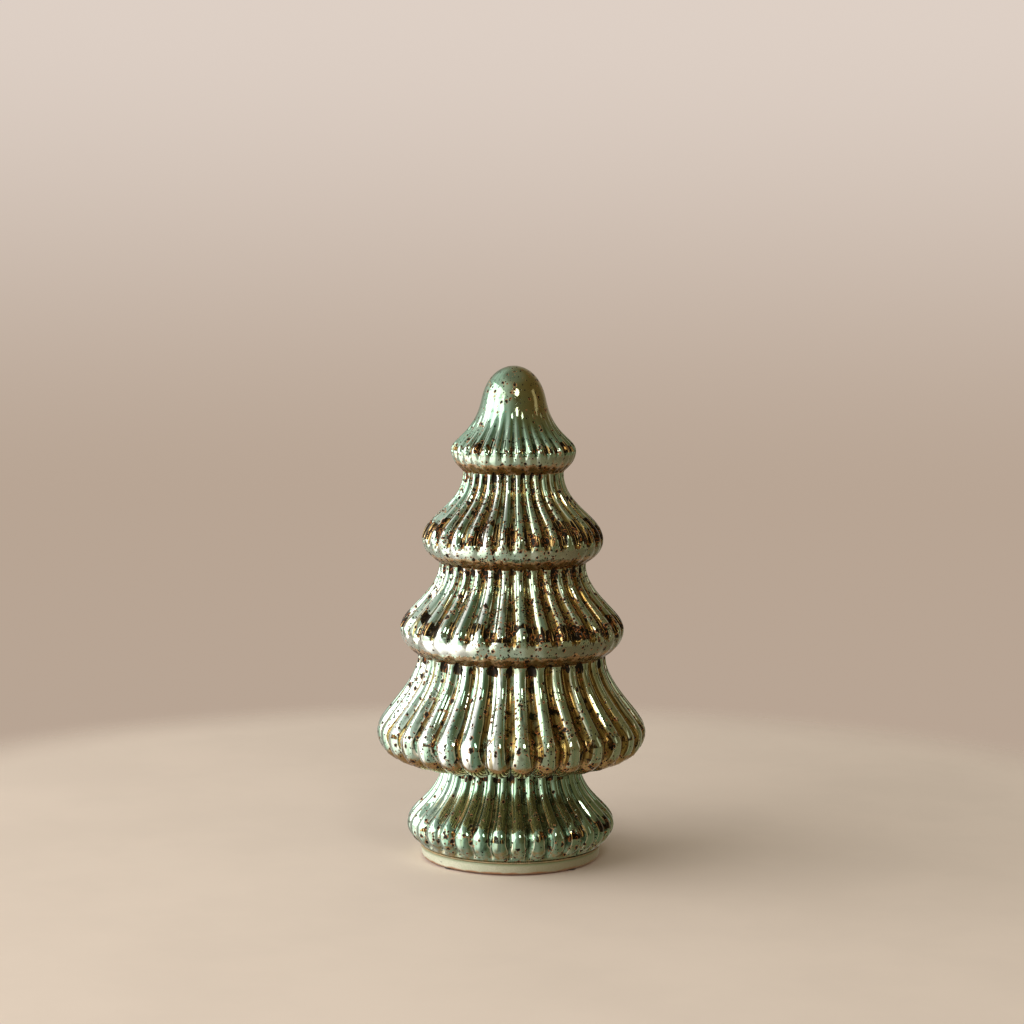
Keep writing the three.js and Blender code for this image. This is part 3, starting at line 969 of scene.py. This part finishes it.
def silvered_glass():
    n = Finish("silvered_glass")
    g = GlassInputs(n)
    valley = n.times(n.span(g.reach, *TARNISH_EDGE), g.grooved)
    colour = n.mix(valley, crest_colour(n, g), tarnish_colour(n, g))
    colour, crevice_shade = lined(n, g, colour)
    bare_colour, bare, rust_and_shade_tone = bare_zones(n, g)
    colour = n.mix(n.times(bare, n.span(crevice_shade, 0.0, 0.6, 1.0, 0.0)), colour, bare_colour)
    pool_colour, pool = pooled(n, g)
    colour = n.mix(pool, colour, pool_colour)
    spot, rim = freckled(n, g)
    colour = n.mix(n.times(rim, 0.85), colour, RUST)
    colour = n.mix(spot, colour, SOOT)

    # What is stained, and what is painted as shade, is less of a metal and duller
    stained_and_shaded = n.most(
        spot,
        rim,
        n.times(rust_and_shade_tone, n.times(bare, 0.6)),
        n.times(pool, n.plus(0.3, n.times(g.neck, 0.5))),
        n.times(crevice_shade, 0.8),
    )
    metal = n.minus(0.97, n.times(stained_and_shaded, 0.85), clamp=True)
    dull = n.most(stained_and_shaded, n.times(valley, 0.5), n.times(bare, 0.3))
    rough = n.plus(n.span(g.grain, 0.3, 0.7, 0.03, 0.07), n.times(dull, 0.3))
    relief = n.plus(n.times(g.mottle, 0.5), n.times(spot, -0.8))
    relief = n.plus(relief, n.times(g.threads, n.span(g.dome, 0.0, 0.7, 0.7, 0.3)))
    n.set(Base_Color=colour, Metallic=metal, Roughness=rough, Normal=n.bump(relief, 0.1, 0.0003))
    n.set(Specular_IOR_Level=DIELECTRIC_SHINE)
    return n.material


# Colours of the pale glaze, among them a painted shade on its right and a painted shade under the base
# bell at the ledge, and how far from the foot's ledge and its bottom they change, in metres
GLAZE = (0.53, 0.57, 0.42)
GLAZE_PALE = (0.64, 0.64, 0.51)
GLAZE_GRAIN = (0.44, 0.46, 0.33)
GLAZE_RIGHT_SHADE = (0.24, 0.20, 0.10)
GLAZE_LEDGE_SHADE = (0.22, 0.27, 0.14)
GLAZE_WORN = (0.30, 0.13, 0.05)
GLAZE_PIT = (0.04, 0.025, 0.015)
LEDGE_SPAN = (-0.0012, 0.0004)
LEDGE_DRIFT = 0.001
WORN_SPAN = (0.0003, 0.0014)
WORN_DRIFT = 0.0022


def pale_glaze():
    n = Finish("pale_glaze")
    right, _, up = n.parts(n.space)
    fine = n.noise(n.space, 1300, 4.0, 0.7)
    clouds = n.noise(n.space, 90, 3.0, 0.5)
    colour = n.mix(n.span(clouds, 0.35, 0.65), GLAZE, GLAZE_PALE)
    colour = n.mix(n.span(fine, 0.3, 0.75), colour, GLAZE_GRAIN)
    # Painted shade: darker towards the right
    colour = n.mix(n.times(n.span(right, *SHADE_AND_AGE_SPAN), 0.75), colour, GLAZE_RIGHT_SHADE)
    ledge = (SEAT_Z - CEMENT_HEIGHT) * MM
    height = n.plus(up, n.times(clouds, LEDGE_DRIFT))
    # Painted shade under the base bell: dark green at the foot's ledge
    green = n.span(height, ledge + LEDGE_SPAN[0], ledge + LEDGE_SPAN[1])
    colour = n.mix(green, colour, GLAZE_LEDGE_SHADE)
    bottom = PAD_HEIGHT * MM
    edge = n.plus(up, n.sway(n.noise(n.space, 160, 3.0), WORN_DRIFT))
    worn = n.span(edge, bottom + WORN_SPAN[0], bottom + WORN_SPAN[1], 1.0, 0.0)
    colour = n.mix(worn, colour, GLAZE_WORN)
    pits = specks(n, n.space, 230, 0.22, 0.16)
    colour = n.mix(pits, colour, GLAZE_PIT)
    relief = n.plus(fine, n.times(pits, -2.0))
    n.set(Base_Color=colour, Roughness=n.span(fine, 0.2, 0.8, 0.35, 0.6))
    n.set(Normal=n.bump(relief, 0.4, 0.0002), Coat_Weight=0.25, Coat_Roughness=0.25)
    return n.material


# The two tones of each of the other finishes, and the tone of its grain
CEMENT_TONES = (0.34, 0.22, 0.10), (0.20, 0.17, 0.08), (0.48, 0.36, 0.20)
CARD_TONES = (0.30, 0.20, 0.11), (0.24, 0.16, 0.09), (0.40, 0.29, 0.18)
RUBBER_TONES = (0.47, 0.45, 0.39), (0.38, 0.36, 0.31)
FELT_TONES = (0.030, 0.022, 0.016), (0.085, 0.065, 0.048)


def cement():
    n = Finish("cement")
    tan, grey, pale = CEMENT_TONES
    grain = n.noise(n.space, 1500, 4.0, 0.7)
    patches = n.noise(n.space, 130, 3.0, 0.6)
    colour = n.mix(n.span(patches, 0.35, 0.65), tan, grey)
    colour = n.mix(n.span(grain, 0.4, 0.8), colour, pale)
    n.dull(colour, grain, (0.35, 0.7), 0.5, 0.0002)
    return n.material


def card():
    n = Finish("card")
    light, dark, pale = CARD_TONES
    fibre = n.noise(n.place(n.space, (1, 0.25, 1)), 1800, 5.0, 0.75)
    patches = n.noise(n.space, 60, 3.0, 0.6)
    colour = n.mix(n.span(patches, 0.35, 0.65), light, dark)
    colour = n.mix(n.span(fibre, 0.35, 0.75), colour, pale)
    n.dull(colour, fibre, (0.75, 0.95), 0.4, 0.0002)
    return n.material


def soft_rubber():
    n = Finish("soft_rubber")
    grain = n.noise(n.space, 2200, 3.0, 0.6)
    dust = n.noise(n.space, 180, 4.0, 0.6)
    colour = n.mix(n.span(dust, 0.35, 0.7), *RUBBER_TONES)
    n.dull(colour, grain, (0.45, 0.65), 0.25, 0.0001)
    return n.material


def felt():
    n = Finish("felt")
    fibre = n.noise(n.space, 2600, 6.0, 0.8, 1.5)
    colour = n.mix(n.span(fibre, 0.35, 0.7), *FELT_TONES)
    n.dull(colour, fibre, (0.85, 1.0), 0.8, 0.0003)
    n.set(Sheen_Weight=0.3)
    return n.material


def dress(piece, material, slot_name, *nodes):
    """Gives a piece its finish and its place on the body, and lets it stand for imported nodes."""
    piece.data.materials.clear()
    piece.data.materials.append(material)
    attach(piece, "root")
    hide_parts(*nodes)


dress(glass_body(), silvered_glass(), "silvered_glass", "glass_tree")
dress(foot_ring(), pale_glaze(), "pale_glaze", "foot_ring")
dress(cement_bead(), cement(), "cement", "cement_bead")
dress(base_disc(), card(), "card", "base_disc")
dress(stopper(), soft_rubber(), "soft_rubber", "stopper")
felt_finish = felt()
for number in (1, 2, 3, 4):
    dress(pad(number), felt_finish, "felt", f"pad_{number}")

# Floor that fades into the background, in metres
FLOOR_RADIUS = 0.5
FLOOR_FADE = (0.36, 0.46)
FLOOR_COLOUR = (0.76, 0.645, 0.555)
FLOOR_PATCHES = 0.96  # how bright its darker patches are
BACKGROUND_LOW = (0.48, 0.375, 0.295)
BACKGROUND_HIGH = (0.73, 0.63, 0.56)

# The room's tones from the left to the right, and behind, above and below the tree
ROOM_ACROSS = [
    (-1.0, (1.05, 1.03, 0.98)),
    (-0.45, (1.0, 0.99, 0.94)),
    (-0.15, (0.52, 0.51, 0.44)),
    (0.05, (0.31, 0.29, 0.21)),
    (0.25, (0.25, 0.205, 0.11)),
    (1.0, (0.20, 0.15, 0.075)),
]
ROOM_BACK = (0.42, 0.36, 0.29)
ROOM_TOP = (0.32, 0.31, 0.27)
ROOM_FLOOR = (0.55, 0.49, 0.42)
ROOM_FLOOR_DARK = (0.31, 0.26, 0.17)
ROOM_TABLE = (2.2, 2.05, 1.9)

# Where those tones begin and are full, as parts of a direction to the right, to the back or up. The
# bright table lies to the left and in front, between two heights.
HORIZON = (-0.1, 0.12)
BACK_SPAN = (0.55, 0.95)
TOP_SPAN = (0.75, 1.0)
FLOOR_SPAN = (0.3, -0.3)
DARK_SPAN = (0.0, 0.5)
TABLE_LEFT = (-0.35, -0.6)
TABLE_FRONT = (0.5, 0.2)
TABLE_LOW = (-0.95, -0.5)
TABLE_HIGH = (0.2, 0.0)

# Lamps, with their sizes and places in metres and their power in watts
TREE_MIDDLE = (0, 0, 0.14)
WARM_WHITE = (1.0, 0.98, 0.95)
LAMPS = [
    dict(name="key", shape="RECTANGLE", size=(2.1, 1.2), place=(-1.36, -0.37, 0.68), power=23),
    dict(name="round", shape="DISK", size=(0.28, 0.28), place=(0.19, -0.86, 0.86), power=1.6),
    dict(name="strip", shape="RECTANGLE", size=(0.25, 0.7), place=(1.15, -0.1, 0.5), power=0.35),
]

# Camera at the photograph's angle, in metres and degrees, with its lens and sensor in millimetres
CAMERA_DISTANCE = 1.2
CAMERA_HEIGHT = 0.295
CAMERA_SIDE = -0.00045
CAMERA_DOWN = 5.66
CAMERA_ROLL = 0.45
CAMERA_LENS = 84.0
SENSOR_WIDTH = 36
CAMERA_NEAR = 0.01
CAMERA_FAR = 100


def floor():
    bpy.ops.mesh.primitive_circle_add(vertices=96, radius=FLOOR_RADIUS, fill_type="NGON")
    disc = bpy.context.object
    disc.name = "floor"
    n = Finish("floor")
    tone = n.noise(n.space, 9, 4.0, 0.6)
    patch_colour = tuple(c * FLOOR_PATCHES for c in FLOOR_COLOUR)
    n.set(Base_Color=n.mix(n.span(tone, 0.35, 0.65), FLOOR_COLOUR, patch_colour), Roughness=0.7)
    away = n.new("ShaderNodeVectorMath", operation="LENGTH")
    n.put(away.inputs[0], n.space)
    clear = n.new("ShaderNodeBsdfTransparent")
    blend = n.new("ShaderNodeMixShader")
    n.put(blend.inputs[0], n.span(away.outputs["Value"], *FLOOR_FADE))
    n.put(blend.inputs[1], n.shader.outputs[0])
    n.put(blend.inputs[2], clear.outputs[0])
    n.put(n.tree.nodes["Material Output"].inputs[0], blend.outputs[0])
    disc.data.materials.append(n.material)
    disc.visible_glossy = False


def lamp(name, shape, size, place, power):
    data = bpy.data.lights.new(name, "AREA")
    data.shape = shape
    data.size, data.size_y = size
    data.energy = power
    data.color = WARM_WHITE
    light = bpy.data.objects.new(name, data)
    light.location = place
    light.rotation_mode = "QUATERNION"
    light.rotation_quaternion = (Vector(place) - Vector(TREE_MIDDLE)).to_track_quat("Z", "Y")
    light.visible_camera = False
    bpy.context.scene.collection.objects.link(light)


def room_colour(n):
    """The tones of a soft room round the tree, by direction."""
    sideways, depth, up = n.parts(n.new("ShaderNodeTexCoord").outputs["Generated"])
    ramp = n.new("ShaderNodeValToRGB")
    stops = ramp.color_ramp.elements
    stops[0].position, stops[0].color = 0.0, (*ROOM_ACROSS[0][1], 1)
    stops[1].position, stops[1].color = 1.0, (*ROOM_ACROSS[-1][1], 1)
    for place, colour in ROOM_ACROSS[1:-1]:
        stops.new((place + 1) / 2).color = (*colour, 1)
    side = n.new("ShaderNodeMapRange")
    side.inputs["From Min"].default_value = -1
    side.inputs["From Max"].default_value = 1
    n.put(side.inputs[0], sideways)
    n.put(ramp.inputs[0], side.outputs[0])
    colour = n.mix(n.span(depth, *BACK_SPAN), ramp.outputs[0], ROOM_BACK)
    colour = n.mix(n.span(up, *TOP_SPAN), colour, ROOM_TOP)
    under = n.mix(n.span(sideways, *DARK_SPAN), ROOM_FLOOR, ROOM_FLOOR_DARK)
    colour = n.mix(n.span(up, *FLOOR_SPAN), colour, under)
    table = n.times(n.span(sideways, *TABLE_LEFT), n.span(depth, *TABLE_FRONT))
    level = n.times(n.span(up, *TABLE_LOW), n.span(up, *TABLE_HIGH))
    return n.mix(n.times(table, level), colour, ROOM_TABLE), up


def world():
    """A pale background for the camera, and a soft room for light and reflections."""
    room = bpy.data.worlds.new("room")
    bpy.context.scene.world = room
    n = Nodes(room)
    n.tree.nodes.clear()
    colour, up = room_colour(n)
    soft = n.new("ShaderNodeBackground")
    n.put(soft.inputs[0], colour)
    seen = n.new("ShaderNodeBackground")
    n.put(seen.inputs[0], n.mix(n.span(up, *HORIZON), BACKGROUND_LOW, BACKGROUND_HIGH))
    blend = n.new("ShaderNodeMixShader")
    n.put(blend.inputs[0], n.new("ShaderNodeLightPath").outputs["Is Camera Ray"])
    n.put(blend.inputs[1], soft.outputs[0])
    n.put(blend.inputs[2], seen.outputs[0])
    n.put(n.new("ShaderNodeOutputWorld").inputs[0], blend.outputs[0])


def camera():
    data = bpy.data.cameras.new("camera")
    data.lens = CAMERA_LENS
    data.sensor_width = SENSOR_WIDTH
    data.clip_start, data.clip_end = CAMERA_NEAR, CAMERA_FAR
    eye = bpy.data.objects.new("camera", data)
    pitch = Matrix.Rotation(math.radians(90 - CAMERA_DOWN), 4, "X")
    roll = Matrix.Rotation(math.radians(CAMERA_ROLL), 4, "Z")
    place = Matrix.Translation((CAMERA_SIDE, -CAMERA_DISTANCE, CAMERA_HEIGHT))
    eye.matrix_world = place @ pitch @ roll
    bpy.context.scene.collection.objects.link(eye)
    bpy.context.scene.camera = eye


floor()
camera()
world()
for settings in LAMPS:
    lamp(**settings)

view = bpy.context.scene.view_settings
view.view_transform = "Standard"
